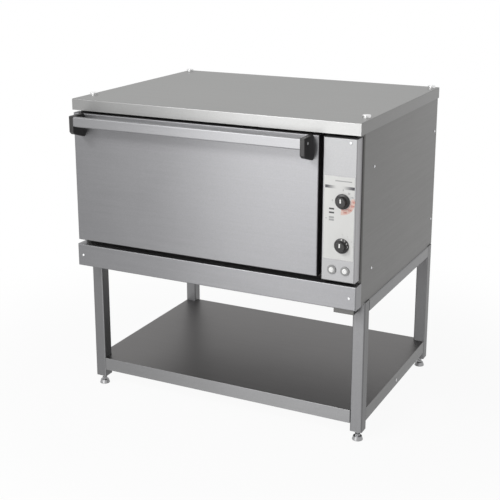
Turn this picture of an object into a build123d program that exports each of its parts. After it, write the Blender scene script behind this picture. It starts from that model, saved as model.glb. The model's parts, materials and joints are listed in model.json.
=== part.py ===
from build123d import *
import os

# Roasting cabinet on an open stand. All sizes are in millimetres.
# X runs to the right of the person at the door, Y runs to the back and Z runs up.
# The origin lies on the floor, under the middle of the whole cabinet.

# Overall sizes
TOP_W = 1000.0            # top panel, side to side
TOP_D = 768.0             # top panel, front to back
STAND_Z = 468.0           # top of the stand, where the body rests
BODY_H = 567.0            # body with its top panel
TOP_FLANGE = 37.0         # height of the top panel's folded edge
FRONT_PROUD = 4.0         # door, controls and fascia stand this far before the top panel
HANDLE_REACH = 62.0       # door face to the front of the handle

# Sheet and clearances
SHEET = 1.5               # casing and chamber sheet
SIDE_INSET = 3.0          # casing sides and back, inside the top panel's edge
LOOSE = 0.3               # gap between pieces that pass each other
BUSH_GAP = 0.05           # radial running gap of a pin or shaft
FIT_GAP = 0.02            # radial gap of a pin that stays put
SCREW_HOLE_GAP = 0.3      # radial gap round a screw

# Stand
LEG = 40.0                # square tube, outside
LEG_WALL = 2.0
LEG_ROUND = 4.0
LEG_Z0 = 34.0             # lower end of the legs
LEG_FRONT_SET = 76.0      # top panel's front edge to the legs
LEG_BACK_SET = 8.0        # top panel's back edge to the legs
FRONT_RAIL_H = 20.0
INSERT_GAP = 0.1
INSERT_BOLT_GAP = 13.0    # plug in the leg's end to the shelf bolt above it
FOOT_R = 18.0
FOOT_TAPER = 4.0
FOOT_H = 13.0
FOOT_NUT_AF = 16.0
FOOT_NUT_H = 8.0
FOOT_STUD_R = 5.0
FOOT_STUD_OVER = 10.0     # stud above the plug

# Lower shelf
SHELF_Z = 104.0           # upper face
SHELF_FLANGE = 44.0
SHELF_SIDE_INSET = 1.0
SHELF_BACK_SET = 15.0     # shelf's back edge before the legs' back faces
NOTCH_GAP = 0.5           # shelf to leg, at the notched corners
STIFFENER_W = 40.0
STIFFENER_H = 36.0
SHELF_BOLT_R = 3.0
SHELF_BOLT_HEAD_R = 6.0
SHELF_BOLT_HEAD_H = 4.0
SHELF_BOLT_DROP = 26.0    # below the shelf's upper face
SHELF_BOLT_OVER = 5.0     # bolt's end inside the leg's wall

# Front: door, control panel and fascia
FASCIA_H = 75.0
FASCIA_INSET = 1.5
DOOR_SIDE_SET = 6.0       # door's left end inside the top panel's edge
DOOR_PANEL_GAP = 14.0     # door to the control panel
DOOR_TOP_GAP = 8.0        # door to the top panel's flange
DOOR_FOOT_GAP = 16.0      # fascia to the door
DOOR_T = 36.0
SEAL_GAP = 9.0            # back of the door to the casing's front plane
PANEL_W = 106.0
PANEL_SIDE_SET = 8.0
PANEL_TOP_GAP = 10.0
PANEL_FOOT_GAP = 10.0
FRONT_ROUND = 3.0         # folded front edges
CASING_ROUND = 4.0        # folded front corners of the side panels
SIDE_RETURN = 22.0        # front and back returns of the side panels

# Oven chamber
INSULATION_T = 45.0
INSULATION_SIDE_GAP = 4.0
INSULATION_TOP_GAP = 32.0
INSULATION_BACK_GAP = 27.0
PARTITION_GAP = 0.5       # insulation to the partition
PARTITION_SET = 14.0      # partition to the left of the control panel
CHAMBER_LIP = 12.0
SEAL_W = 12.0
SEAL_OFFSET = 2.0         # seal outside the opening
SEAL_EAR_GAP = 1.5        # seal above the hinge ears' feet
SEAL_ROUND = 4.0
SUPPORT_W = 40.0
SUPPORT_T = 2.0
SUPPORT_END_SET = 115.5   # supports from the chamber's sides

# Hinge
PIN_R = 4.0
EAR_T = 6.0
EAR_R = 10.0
EAR_SIDE_GAP = 1.0
EAR_END_INSET = 24.0      # ear's middle from the door's end
EAR_BASE_W = 25.0
EAR_BASE_H = 39.0
CHEEK_T = 8.0
BLOCK_H = 40.0
SWING_GAP = 1.0           # room round the ear in its slot
PLUG_H = 6.0              # raised field of the door's inner panel
PLUG_INSET = 5.0          # inside the opening

# Handle
BRACKET_W = 16.0
BRACKET_LEFT_SET = 26.0   # bracket's outer side to the door's left end
BRACKET_RIGHT_SET = 18.0  # bracket's outer side to the door's right end
BRACKET_DROP = 60.0       # height of its front
BRACKET_FOOT_DROP = 76.0  # height where it meets the door
BRACKET_CHAMFER = 8.0
BRACKET_ROUND = 2.5
BAR_H = 33.0
BAR_T = 12.0
BAR_ROUND = 4.0
BAR_TOP_SET = 2.0         # below the bracket's top
BAR_FRONT_SET = 1.5
BAR_SOCKET = 8.0
HANDLE_SCREW_R = 2.5
HANDLE_SCREW_HEAD_R = 4.5
HANDLE_SCREW_SUNK = 2.0
HANDLE_SCREW_SET = 16.0   # side screw behind the bar's middle
HANDLE_BOLT_HEAD_H = 3.0
HANDLE_BOLT_L = 22.0
HANDLE_BOLT_INSET = 14.0  # bolts from the upper and lower ends of a bracket

# Controls
LABEL_LEFT_SET = 6.0      # label plate inside the control panel's edges
LABEL_RIGHT_SET = 5.0
LABEL_FOOT_SET = 69.0
LABEL_H = 253.0
LABEL_T = 0.8
KNOB_SET = 64.0           # knobs' middle from the control panel's left edge
THERMOSTAT_RISE = 248.0   # above the control panel's lower edge
SWITCH_RISE = 113.0
KNOB_R = 24.0
KNOB_SKIRT_T = 5.0
KNOB_BODY_R = 19.0
KNOB_H = 24.0
KNOB_GRIP_W = 9.0
KNOB_GRIP_H = 3.0
KNOB_STANDOFF = 0.6       # knob's back to the label plate
KNOB_RECESS_R = 7.0
KNOB_RECESS_D = 4.0
KNOB_BORE_D = 16.0
SHAFT_R = 3.0
SHAFT_INSIDE = 18.0       # shaft's end behind the panel's face
BUSH_R = 5.0
BUSH_REACH = 3.0          # bush before the label plate
THERMOSTAT_W = 44.0
THERMOSTAT_D = 40.0
SWITCH_W = 46.0
SWITCH_D = 36.0
LAMP_RISE = 36.0
LAMP_SETS = (34.0, 76.0)  # lamps from the control panel's left edge
LAMP_R = 14.0
LAMP_BEZEL_T = 3.0
LAMP_BARREL_R = 10.5
LAMP_BARREL_L = 30.0
LENS_R = 8.2
LENS_RISE = 3.0
LENS_DEPTH = 15.0

# Heating elements
TUBE_R = 4.25
TUBE_RUNS = 4
TUBE_HOLE_GAP = 0.75
UPPER_TUBE_DROP = 25.0    # below the chamber's ceiling
LOWER_TUBE_RISE = 20.0    # above the chamber's floor
TUBE_FRONT_GAP = 77.0     # chamber's front to the first run
TUBE_BACK_GAP = 69.0      # last run to the chamber's back
TUBE_GROUP_GAP = 80.0     # between the front and rear elements
TUBE_LEFT_GAP = 25.0      # bends to the chamber's sides
TUBE_RIGHT_GAP = 15.0
TUBE_OUT = 21.5           # tube's end outside the partition
TERMINAL_R = 2.0
TERMINAL_L = 15.0
TUBE_BRACKET_SET = 145.0  # brackets from the chamber's left wall
TUBE_BRACKET_T = 2.0
TUBE_BRACKET_OVER = 15.0  # bracket past the outer runs
TUBE_BRACKET_EDGE = 10.0  # bracket beyond the tubes' middle line
HEARTH_RISE = 43.0        # plate's upper face above the chamber's floor
HEARTH_T = 2.0
HEARTH_FRONT_GAP = 20.0
HEARTH_BACK_GAP = 10.0

# Runners and grid
RUNNER_BAR = 7.0
RUNNER_BAR_W = 10.0
RUNNER_FIRST = 78.0       # lowest carrying rod above the chamber's floor
RUNNER_PITCH = 85.0
RUNNER_LEVELS = 3
RUNNER_GUARD = 18.0       # guard rod above its carrying rod
RUNNER_END = 15.0         # uprights past the outermost rods
RUNNER_FRONT_GAP = 57.0
RUNNER_BACK_GAP = 39.0
RUNNER_OVER = 20.0        # rods past the uprights
RUNNER_ROD_R = 3.0
RUNNER_SINK = 1.0         # how deep a rod is welded into its upright
GRID_LEVEL = 1            # which level carries the grid, counted from 0
GRID_WIRE_R = 3.0
GRID_BAR_R = 2.0
GRID_TIE_R = 2.5
GRID_CORNER = 12.0
GRID_WELD = 0.8           # how deep the bars are sunk into the frame wire
GRID_FRONT_GAP = 82.0
GRID_BACK_GAP = 1.0
GRID_SIDE_GAP = 0.5       # grid to the runners' uprights
GRID_PITCH = 31.5         # target spacing of the bars
GRID_TIES = 2

# Thermostat bulb and its capillary
BULB_R = 3.0
BULB_L = 120.0
BULB_WALL_GAP = 13.0      # bulb's middle line to the chamber's right wall
BULB_DROP = 25.0          # below the upper elements
BULB_TAIL = 40.0          # straight capillary between the bulb and its bend
BULB_CLIP_SET = 25.0      # clips from the bulb's ends
CAPILLARY_R = 1.2
CAPILLARY_HOLE_R = 2.0
CAPILLARY_SET = 207.0     # capillary's wall holes behind the chamber's front
CAPILLARY_BEND = 10.0
CAPILLARY_OUT = 35.0      # its upright run outside the partition
CAPILLARY_RISE = 40.0     # above the thermostat
CAPILLARY_LOOP = 30.0     # behind the thermostat's body

# Fasteners and small parts
STUD_R = 13.0
STUD_H = 8.0
STUD_SHANK_R = 4.0
STUD_NUT_AF = 13.0
STUD_NUT_H = 6.5
SCREW_R = 2.0
SCREW_HEAD_R = 4.0
SCREW_HEAD_H = 2.3
SCREW_L = 5.0
SIDE_SCREW_FRONT = 87.0   # side screws from the casing's front and back
SIDE_SCREW_BACK = 23.0
SIDE_SCREW_LOW = 98.0     # above the stand
SIDE_SCREW_HIGH = 151.0   # below the top
BACK_SCREW_LOW = 30.0
BACK_SCREW_HIGH = 50.0
PANEL_SCREW_SIDE = 21.0
PANEL_SCREW_TOP = 12.0
FASCIA_SCREW_SET = 23.0
VENT_SIDE_GAP = 26.0
VENT_END_GAP = 110.0      # vents inside the control panel's height
VENT_H = 6.0
VENT_PITCH = 26.0
GLAND_RISE = 60.0         # cable gland above the stand
GLAND_BORE_R = 6.5
GLAND_BODY_R = 9.0
GLAND_BODY_L = 18.0       # behind the back panel's inner face
GLAND_FLANGE_R = 13.0
GLAND_FLANGE_T = 2.5
GLAND_NUT_AF = 24.0
GLAND_NUT_H = 5.0
TERMINAL_BLOCK_W = 70.0
TERMINAL_BLOCK_D = 30.0
TERMINAL_BLOCK_H = 26.0
TERMINAL_BLOCK_SET = 160.0    # before the back panel
TERMINAL_POLES = 4
CUTOUT_LEFT_SET = 25.0    # cover of the overheat cut-out, inside the control panel's sides
CUTOUT_RIGHT_SET = 16.0
CUTOUT_H = 31.0
CUTOUT_BACK_GAP = 1.0     # to the leg

# Places that follow from the sizes above
HANDLE_Y = -(TOP_D + FRONT_PROUD + HANDLE_REACH) / 2
FACE_Y = HANDLE_Y + HANDLE_REACH
TOP_FRONT_Y = FACE_Y + FRONT_PROUD
TOP_BACK_Y = TOP_FRONT_Y + TOP_D
TOP_Z = STAND_Z + BODY_H
CASING_X = TOP_W / 2 - SIDE_INSET
INNER_X = CASING_X - SHEET
CASING_Y0 = FACE_Y + DOOR_T + SEAL_GAP
CASING_Y1 = TOP_BACK_Y - SIDE_INSET
CASING_TOP_Z = TOP_Z - SHEET
BACK_Y = CASING_Y1 - SHEET
FLOOR_Z = STAND_Z + SHEET
FRAME_Y0 = CASING_Y0 + SHEET
FRAME_Y1 = FRAME_Y0 + SHEET
FASCIA_Z1 = STAND_Z + FASCIA_H
PANEL_X1 = TOP_W / 2 - PANEL_SIDE_SET
PANEL_X0 = PANEL_X1 - PANEL_W
PANEL_Z0 = FASCIA_Z1 + PANEL_FOOT_GAP
PANEL_Z1 = TOP_Z - TOP_FLANGE - PANEL_TOP_GAP
DOOR_X0 = -TOP_W / 2 + DOOR_SIDE_SET
DOOR_X1 = PANEL_X0 - DOOR_PANEL_GAP
DOOR_Z0 = FASCIA_Z1 + DOOR_FOOT_GAP
DOOR_Z1 = TOP_Z - TOP_FLANGE - DOOR_TOP_GAP
DOOR_BACK_Y = FACE_Y + DOOR_T
HINGE_Y = FACE_Y + DOOR_T / 2
HINGE_Z = DOOR_Z0 + DOOR_T / 2
EAR_XS = (DOOR_X0 + EAR_END_INSET, DOOR_X1 - EAR_END_INSET)
EAR_SLOT = EAR_T / 2 + EAR_SIDE_GAP

LEG_X = TOP_W / 2
LEG_Y0 = TOP_FRONT_Y + LEG_FRONT_SET
LEG_Y1 = TOP_BACK_Y - LEG_BACK_SET
LEG_CENTRES = [(sx * (LEG_X - LEG / 2), y) for y in (LEG_Y0 + LEG / 2, LEG_Y1 - LEG / 2)
               for sx in (-1, 1)]
SHELF_Y1 = LEG_Y1 - SHELF_BACK_SET
SHELF_MID_Y = (LEG_Y0 + SHELF_Y1) / 2
SHELF_BOLT_Z = SHELF_Z - SHELF_BOLT_DROP
SHELF_BOLT_X = LEG_X - LEG - NOTCH_GAP - SHEET
SHELF_BOLTS = [(sx, y) for y in (LEG_Y0 + LEG / 2, (LEG_Y1 - LEG + SHELF_Y1) / 2) for sx in (-1, 1)]
INSERT_TOP = SHELF_BOLT_Z - SHELF_BOLT_R - INSERT_BOLT_GAP

PARTITION_X = PANEL_X0 - PARTITION_SET
WALL_X = SHEET + INSULATION_T
OPEN_X0 = -INNER_X + INSULATION_SIDE_GAP + WALL_X
OPEN_X1 = PARTITION_X - PARTITION_GAP - WALL_X
OPEN_Z0 = HINGE_Z + EAR_BASE_H / 2 + SEAL_EAR_GAP + SEAL_W + SEAL_OFFSET
OPEN_Z1 = CASING_TOP_Z - INSULATION_TOP_GAP - WALL_X
CHAMBER_Y1 = BACK_Y - INSULATION_BACK_GAP - WALL_X
UPPER_TUBE_Z = OPEN_Z1 - UPPER_TUBE_DROP
LOWER_TUBE_Z = OPEN_Z0 + LOWER_TUBE_RISE
TUBE_ROOM = CHAMBER_Y1 - FRAME_Y1 - TUBE_FRONT_GAP - TUBE_BACK_GAP - TUBE_GROUP_GAP
TUBE_PITCH = TUBE_ROOM / (2 * (TUBE_RUNS - 1))
TUBE_GROUP_D = TUBE_PITCH * (TUBE_RUNS - 1)
TUBE_FIRST_Y = (FRAME_Y1 + TUBE_FRONT_GAP, FRAME_Y1 + TUBE_FRONT_GAP + TUBE_GROUP_D + TUBE_GROUP_GAP)
TUBE_LEFT_X = OPEN_X0 + TUBE_LEFT_GAP
TUBE_RIGHT_X = OPEN_X1 - TUBE_RIGHT_GAP
TUBE_END_X = PARTITION_X + SHEET + TUBE_OUT
TUBE_BRACKET_X = OPEN_X0 + TUBE_BRACKET_SET
TUBE_HOLE_R = TUBE_R + TUBE_HOLE_GAP
BULB_X = OPEN_X1 - BULB_WALL_GAP
BULB_Z = UPPER_TUBE_Z - BULB_DROP
CAPILLARY_Y = FRAME_Y1 + CAPILLARY_SET
BULB_Y0 = CAPILLARY_Y + BULB_TAIL
CAPILLARY_X = PARTITION_X + CAPILLARY_OUT

RUNNER_Z = [OPEN_Z0 + RUNNER_FIRST + i * RUNNER_PITCH for i in range(RUNNER_LEVELS)]
RUNNER_Y = (FRAME_Y1 + RUNNER_FRONT_GAP, CHAMBER_Y1 - RUNNER_BACK_GAP)
RUNNER_ROD_SET = RUNNER_BAR - RUNNER_SINK + RUNNER_ROD_R
RUNNER_ROD_X = (OPEN_X0 + RUNNER_ROD_SET, OPEN_X1 - RUNNER_ROD_SET)
GRID_SET = RUNNER_BAR + GRID_SIDE_GAP + GRID_WIRE_R
GRID_X = (OPEN_X0 + GRID_SET, OPEN_X1 - GRID_SET)
GRID_BACK_Y = CHAMBER_Y1 - GRID_BACK_GAP - GRID_WIRE_R
GRID_FRONT_Y = FRAME_Y1 + GRID_FRONT_GAP
GRID_LIFT = ((GRID_WIRE_R + RUNNER_ROD_R + LOOSE) ** 2 - (GRID_SET - RUNNER_ROD_SET) ** 2) ** 0.5
GRID_Z = RUNNER_Z[GRID_LEVEL] + GRID_LIFT

BRACKET_SPANS = ((DOOR_X0 + BRACKET_LEFT_SET, DOOR_X0 + BRACKET_LEFT_SET + BRACKET_W),
                 (DOOR_X1 - BRACKET_RIGHT_SET - BRACKET_W, DOOR_X1 - BRACKET_RIGHT_SET))
HANDLE_BOLT_ZS = (DOOR_Z1 - HANDLE_BOLT_INSET, DOOR_Z1 - BRACKET_FOOT_DROP + HANDLE_BOLT_INSET)
BAR_Z = DOOR_Z1 - BAR_TOP_SET - BAR_H / 2
BAR_Y = HANDLE_Y + BAR_FRONT_SET + BAR_T / 2

KNOB_X = PANEL_X0 + KNOB_SET
THERMOSTAT_Z = PANEL_Z0 + THERMOSTAT_RISE
SWITCH_Z = PANEL_Z0 + SWITCH_RISE
KNOB_BACK_Y = FACE_Y - LABEL_T - KNOB_STANDOFF
LAMP_XS = [PANEL_X0 + offset for offset in LAMP_SETS]
LAMP_Z = PANEL_Z0 + LAMP_RISE
BAY_X = (PARTITION_X + SHEET + INNER_X) / 2
GLAND_Z = STAND_Z + GLAND_RISE
SIDE_SCREWS = [(y, z) for y in (CASING_Y0 + SIDE_SCREW_FRONT, CASING_Y1 - SIDE_SCREW_BACK)
               for z in (STAND_Z + SIDE_SCREW_LOW, TOP_Z - SIDE_SCREW_HIGH)]
BACK_SCREWS = [(sx * (CASING_X - SIDE_RETURN / 2), z) for sx in (-1, 1)
               for z in (STAND_Z + BACK_SCREW_LOW, CASING_TOP_Z - BACK_SCREW_HIGH)]
PANEL_SCREW = (PANEL_X1 - PANEL_SCREW_SIDE, PANEL_Z1 - PANEL_SCREW_TOP)
FASCIA_SCREWS = [(sx * (TOP_W / 2 - FASCIA_SCREW_SET), (STAND_Z + FASCIA_Z1) / 2) for sx in (-1, 1)]

TURN = {"x": Rot(0, 90, 0), "y": Rot(-90, 0, 0), "z": Rot(0, 0, 0)}
parts = {}


def block(x0, x1, y0, y1, z0, z1):
    """A box between two corners."""
    middle = Pos((x0 + x1) / 2, (y0 + y1) / 2, (z0 + z1) / 2)
    return middle * Box(x1 - x0, y1 - y0, z1 - z0)


def rod(axis, radius, start, length):
    """A round bar from its start point, along the positive x, y or z axis."""
    shift = {"x": (length / 2, 0, 0), "y": (0, length / 2, 0), "z": (0, 0, length / 2)}[axis]
    centre = Vector(*start) + Vector(*shift)
    return Pos(centre.X, centre.Y, centre.Z) * TURN[axis] * Cylinder(radius, length)


def hexagon(axis, across_flats, start, length):
    """A six-sided bar from its start point, along the positive x, y or z axis."""
    flat = RegularPolygon(across_flats / 2, 6, major_radius=False)
    return Pos(*start) * TURN[axis] * extrude(flat, length)


def joined(shapes):
    """Fuses a list of shapes, or keeps them side by side where they don't touch."""
    return Part() + list(shapes)


def front_edges(shape):
    """The edges of the face that looks to the front."""
    return shape.faces().sort_by(Axis.Y)[0].edges()


def pan(x0, x1, y0, y1, z0, z1, rounding):
    """A folded sheet box, open to the back, with rounded front edges."""
    outer = block(x0, x1, y0, y1, z0, z1)
    outer = fillet(front_edges(outer), rounding)
    inner = block(x0 + SHEET, x1 - SHEET, y0 + SHEET, y1, z0 + SHEET, z1 - SHEET)
    inner = fillet(front_edges(inner), rounding - SHEET)
    return outer - inner


def square_tube(length):
    """A square tube with rounded corners, standing on the origin."""
    outer = RectangleRounded(LEG, LEG, LEG_ROUND)
    inner = RectangleRounded(LEG - 2 * LEG_WALL, LEG - 2 * LEG_WALL, LEG_ROUND - LEG_WALL)
    return extrude(outer - inner, length)


def leg(x, y):
    """One leg, with the clearance hole for its shelf bolt."""
    tube = Pos(x, y, LEG_Z0) * square_tube(STAND_Z - LEG_Z0)
    for sx, bolt_y in SHELF_BOLTS:
        start = min(sx * SHELF_BOLT_X, sx * (LEG_X - LEG / 2))
        hole = rod("x", SHELF_BOLT_R + SCREW_HOLE_GAP, (start, bolt_y, SHELF_BOLT_Z), LEG / 2)
        tube -= hole
    return tube


def stand():
    """Legs, rails, leg inserts and levelling feet."""
    names = ("leg_front_left", "leg_front_right", "leg_back_left", "leg_back_right")
    for name, (x, y) in zip(names, LEG_CENTRES):
        parts[name] = leg(x, y)
    rail_y0 = LEG_Y0 + LEG
    side_tube = square_tube(LEG_Y1 - LEG - rail_y0)
    for name, sx in (("side_rail_left", -1), ("side_rail_right", 1)):
        place = Pos(sx * (LEG_X - LEG / 2), rail_y0, STAND_Z - LEG / 2) * TURN["y"]
        parts[name] = place * side_tube
    back_tube = square_tube(2 * (LEG_X - LEG))
    parts["back_rail"] = Pos(-(LEG_X - LEG), LEG_Y1 - LEG / 2, STAND_Z - LEG / 2) * TURN["x"] * back_tube
    flat = RectangleRounded(FRONT_RAIL_H, LEG, LEG_ROUND / 2)
    flat -= RectangleRounded(FRONT_RAIL_H - 2 * LEG_WALL, LEG - 2 * LEG_WALL, LEG_ROUND / 4)
    place = Pos(-(LEG_X - LEG), LEG_Y0 + LEG / 2, STAND_Z - FRONT_RAIL_H / 2) * TURN["x"]
    parts["front_rail"] = place * extrude(flat, 2 * (LEG_X - LEG))
    side = LEG - 2 * LEG_WALL - 2 * INSERT_GAP
    insert = extrude(RectangleRounded(side, side, LEG_ROUND - LEG_WALL), INSERT_TOP - LEG_Z0)
    insert -= Cylinder(FOOT_STUD_R + BUSH_GAP, 3 * (INSERT_TOP - LEG_Z0))
    parts["leg_inserts"] = joined(Pos(x, y, LEG_Z0) * insert for x, y in LEG_CENTRES)
    names = ("foot_front_left", "foot_front_right", "foot_back_left", "foot_back_right")
    pad = Cone(FOOT_R, FOOT_R - FOOT_TAPER, FOOT_H, align=(Align.CENTER, Align.CENTER, Align.MIN))
    pad = fillet(pad.edges().filter_by(GeomType.CIRCLE).sort_by(Axis.Z)[0], 1.5)
    stud = rod("z", FOOT_STUD_R, (0, 0, FOOT_H / 2), INSERT_TOP + FOOT_STUD_OVER - FOOT_H / 2)
    foot = joined([pad, hexagon("z", FOOT_NUT_AF, (0, 0, FOOT_H), FOOT_NUT_H), stud])
    for name, (x, y) in zip(names, LEG_CENTRES):
        parts[name] = Pos(x, y, 0) * foot


def tray_outline(shrink):
    """The shelf's notched outline, drawn in by the shrink."""
    half = LEG_X - SHELF_SIDE_INSET - shrink
    y0 = LEG_Y0 + shrink
    y1 = SHELF_Y1 - shrink
    notch = LEG_X - LEG - NOTCH_GAP - shrink
    outline = Pos(0, (y0 + y1) / 2) * Rectangle(2 * half, y1 - y0)
    front = LEG_Y0 + LEG + NOTCH_GAP + shrink
    back = LEG_Y1 - LEG - NOTCH_GAP - shrink
    for sx in (-1, 1):
        outline -= Pos(sx * (notch + LEG), front - LEG) * Rectangle(2 * LEG, 2 * LEG)
        outline -= Pos(sx * (notch + LEG), back + LEG) * Rectangle(2 * LEG, 2 * LEG)
    return outline


def lower_shelf():
    """Tray with down-turned flanges and a welded stiffener, and its bolts."""
    z0 = SHELF_Z - SHELF_FLANGE
    tray = Pos(0, 0, z0) * extrude(tray_outline(0), SHELF_FLANGE)
    tray = fillet(tray.faces().sort_by(Axis.Z)[-1].edges(), SHEET)
    tray -= Pos(0, 0, z0) * extrude(tray_outline(SHEET), SHELF_FLANGE - SHEET)
    half = LEG_X - SHELF_SIDE_INSET - SHEET
    top = SHELF_Z - SHEET
    y0 = SHELF_MID_Y - STIFFENER_W / 2
    y1 = SHELF_MID_Y + STIFFENER_W / 2
    stiffener = block(-half, half, y0, y1, top - STIFFENER_H, top)
    stiffener -= block(-half + SHEET, half - SHEET, y0 + SHEET, y1 - SHEET, top - STIFFENER_H, top - SHEET)
    shelf = tray + stiffener
    bolts = []
    reach = SHEET + NOTCH_GAP + LEG_WALL + SHELF_BOLT_OVER
    for sx, y in SHELF_BOLTS:
        shelf -= between(SHELF_BOLT_R + SCREW_HOLE_GAP, sx * (SHELF_BOLT_X - 1), sx * (SHELF_BOLT_X + 2), y)
        head = between(SHELF_BOLT_HEAD_R, sx * (SHELF_BOLT_X - SHELF_BOLT_HEAD_H), sx * SHELF_BOLT_X, y)
        bolts.append(head + between(SHELF_BOLT_R, sx * SHELF_BOLT_X, sx * (SHELF_BOLT_X + reach), y))
    for sx in (-1, 1):
        outer = LEG_X - SHELF_SIDE_INSET
        shelf -= between(SHELF_BOLT_R + SCREW_HOLE_GAP, sx * (outer - 5), sx * (outer + 1), SHELF_MID_Y)
        head = between(SHELF_BOLT_HEAD_R, sx * outer, sx * LEG_X, SHELF_MID_Y)
        bolts.append(head + between(SHELF_BOLT_R, sx * (outer - 10), sx * outer, SHELF_MID_Y))
    parts["lower_shelf"] = shelf
    parts["shelf_bolts"] = joined(bolts)


def between(radius, xa, xb, y):
    """A round bar along X between two places, at the height of the shelf bolts."""
    return rod("x", radius, (min(xa, xb), y, SHELF_BOLT_Z), abs(xb - xa))


def top_panel():
    """Folded top panel with its four stacking studs."""
    x = TOP_W / 2
    z0 = TOP_Z - TOP_FLANGE
    panel = block(-x, x, TOP_FRONT_Y, TOP_BACK_Y, z0, TOP_Z)
    panel = fillet(panel.faces().sort_by(Axis.Z)[-1].edges(), FRONT_ROUND)
    inner = block(-x + SHEET, x - SHEET, TOP_FRONT_Y + SHEET, TOP_BACK_Y - SHEET, z0, CASING_TOP_Z)
    panel -= fillet(inner.faces().sort_by(Axis.Z)[-1].edges(), FRONT_ROUND - SHEET)
    studs = []
    for px, py in LEG_CENTRES:
        panel -= rod("z", STUD_SHANK_R + SCREW_HOLE_GAP, (px, py, z0), TOP_FLANGE + 1)
        head = rod("z", STUD_R, (px, py, TOP_Z), STUD_H)
        head = fillet(head.edges().filter_by(GeomType.CIRCLE).sort_by(Axis.Z)[-1], 1.5)
        depth = SHEET + STUD_NUT_H
        shank = rod("z", STUD_SHANK_R, (px, py, TOP_Z - depth), depth)
        nut = hexagon("z", STUD_NUT_AF, (px, py, TOP_Z - depth), STUD_NUT_H)
        studs.append(joined([head, shank, nut]))
    parts["top_panel"] = panel
    parts["stacking_studs"] = joined(studs)


def front_corner(shape):
    """The upright edge at the front and outer corner of a right-hand side panel."""
    return shape.edges().filter_by(Axis.Z).group_by(Axis.Y)[0].sort_by(Axis.X)[-1]


def casing():
    """Side, back and bottom panels."""
    x0 = CASING_X - SIDE_RETURN
    panel = block(x0, CASING_X, CASING_Y0, CASING_Y1, STAND_Z, CASING_TOP_Z)
    panel = fillet(front_corner(panel), CASING_ROUND)
    hollow = block(x0, INNER_X, FRAME_Y0, BACK_Y - SHEET, STAND_Z, CASING_TOP_Z)
    panel -= fillet(front_corner(hollow), CASING_ROUND - SHEET)
    panel -= block(x0, INNER_X, BACK_Y, CASING_Y1, STAND_Z, CASING_TOP_Z)
    for y, z in SIDE_SCREWS:
        panel -= rod("x", SCREW_R + SCREW_HOLE_GAP, (CASING_X - 5, y, z), 10)
    back = block(-INNER_X, INNER_X, BACK_Y, CASING_Y1, STAND_Z, CASING_TOP_Z)
    vent_w = INNER_X - PARTITION_X - SHEET - 2 * VENT_SIDE_GAP
    vents = int((PANEL_Z1 - PANEL_Z0 - 2 * VENT_END_GAP) // VENT_PITCH) + 1
    for i in range(vents):
        z = (PANEL_Z0 + PANEL_Z1) / 2 + (i - (vents - 1) / 2) * VENT_PITCH
        slot = TURN["y"] * extrude(SlotOverall(vent_w, VENT_H), 3 * SHEET)
        back -= Pos(BAY_X, CASING_Y1 - 2 * SHEET, z) * slot
    back -= rod("y", GLAND_BODY_R + SCREW_HOLE_GAP, (BAY_X, CASING_Y1 - 5, GLAND_Z), 10)
    for x, z in BACK_SCREWS:
        hole = rod("y", SCREW_R + SCREW_HOLE_GAP, (x, CASING_Y1 - 5, z), 10)
        back -= hole
        panel -= hole
    parts["side_panel_right"] = panel
    parts["side_panel_left"] = mirror(panel, Plane.YZ)
    parts["back_panel"] = back
    floor = block(-INNER_X, INNER_X, FRAME_Y0, BACK_Y - SHEET, STAND_Z, FLOOR_Z)
    corners = floor.edges().filter_by(Axis.Z).group_by(Axis.Y)[0]
    parts["bottom_panel"] = chamfer(corners, CASING_ROUND - SHEET)


def front_frame():
    """Plate behind the door with the oven opening, and the partition beside the oven."""
    corner = CASING_ROUND - SHEET
    frame = block(-INNER_X + corner, PANEL_X0 + SHEET, FRAME_Y0, FRAME_Y1, FLOOR_Z, CASING_TOP_Z)
    opening = block(OPEN_X0, OPEN_X1, FRAME_Y0, FRAME_Y1, OPEN_Z0, OPEN_Z1)
    parts["front_frame"] = frame - opening
    wall = block(PARTITION_X, PARTITION_X + SHEET, FRAME_Y1, BACK_Y, FLOOR_Z, CASING_TOP_Z)
    parts["partition"] = wall - tube_holes(PARTITION_X, SHEET) - capillary_hole(PARTITION_X, SHEET)
    ears = []
    for x, inward in zip(EAR_XS, (1, -1)):
        arm = block(x - EAR_T / 2, x + EAR_T / 2, HINGE_Y, FRAME_Y0, HINGE_Z - EAR_R, HINGE_Z + EAR_R)
        eye = rod("x", EAR_R, (x - EAR_T / 2, HINGE_Y, HINGE_Z), EAR_T)
        x0 = x - inward * EAR_T / 2
        x1 = x0 + inward * EAR_BASE_W
        base = block(min(x0, x1), max(x0, x1), CASING_Y0, FRAME_Y0,
                     HINGE_Z - EAR_BASE_H / 2, HINGE_Z + EAR_BASE_H / 2)
        hole = rod("x", PIN_R + BUSH_GAP, (x - EAR_T, HINGE_Y, HINGE_Z), 2 * EAR_T)
        ears.append(joined([arm, eye, base]) - hole)
    parts["hinge_ears"] = joined(ears)


def tube_holes(x, thickness):
    """Through holes along X where the ends of the heating elements pass a wall."""
    holes = []
    for z in (UPPER_TUBE_Z, LOWER_TUBE_Z):
        for first in TUBE_FIRST_Y:
            for run in (0, TUBE_RUNS - 1):
                y = first + run * TUBE_PITCH
                holes.append(rod("x", TUBE_HOLE_R, (x - 1, y, z), thickness + 2))
    return joined(holes)


def capillary_hole(x, thickness):
    """Through hole along X where the thermostat's capillary passes a wall."""
    return rod("x", CAPILLARY_HOLE_R, (x - 1, CAPILLARY_Y, BULB_Z), thickness + 2)


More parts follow.
